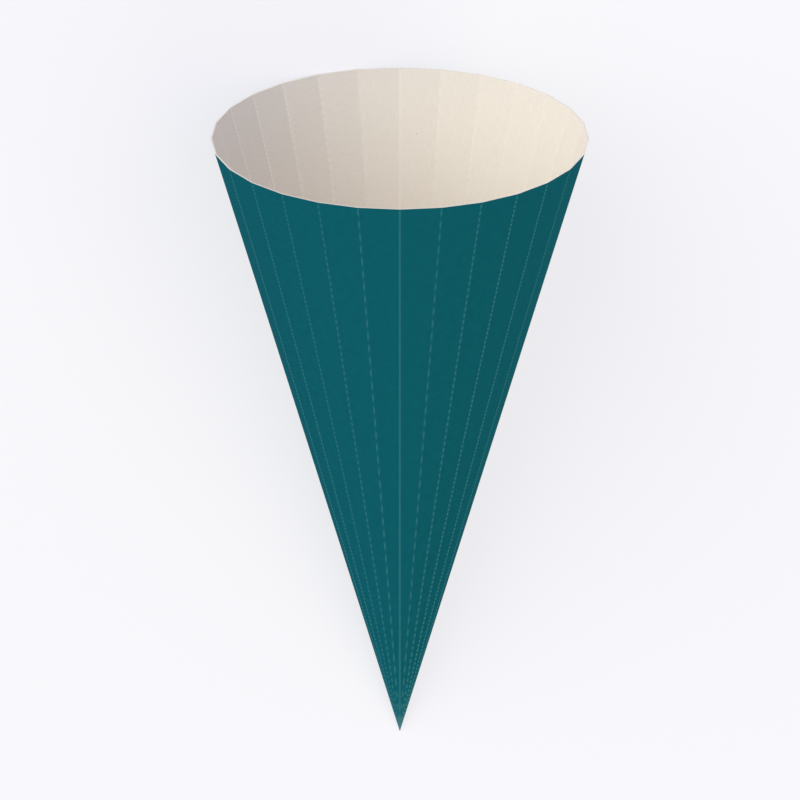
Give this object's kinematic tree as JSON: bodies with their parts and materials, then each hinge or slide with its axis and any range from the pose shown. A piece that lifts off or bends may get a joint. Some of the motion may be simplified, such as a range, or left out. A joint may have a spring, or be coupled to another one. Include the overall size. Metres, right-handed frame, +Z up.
{
  "type": "paper snack cone",
  "caption": "Pointed paper cone folded from a scored card blank into flat panels, open at the mouth and closed by a glued lap, for serving snacks; it lies on its lap.",
  "frame": {"origin": "middle of the cone's footprint on the surface that it lies on", "axes": "+Z up, +Y from the tip towards the mouth, +X across the cone"},
  "size_m": [0.0794, 0.1408, 0.0766],
  "materials": {
    "printed_card": "matt teal print on the outside of uncoated cream board"
  },
  "bodies": {
    "root": {"snack_cone": "printed_card"}
  },
  "joints": []
}
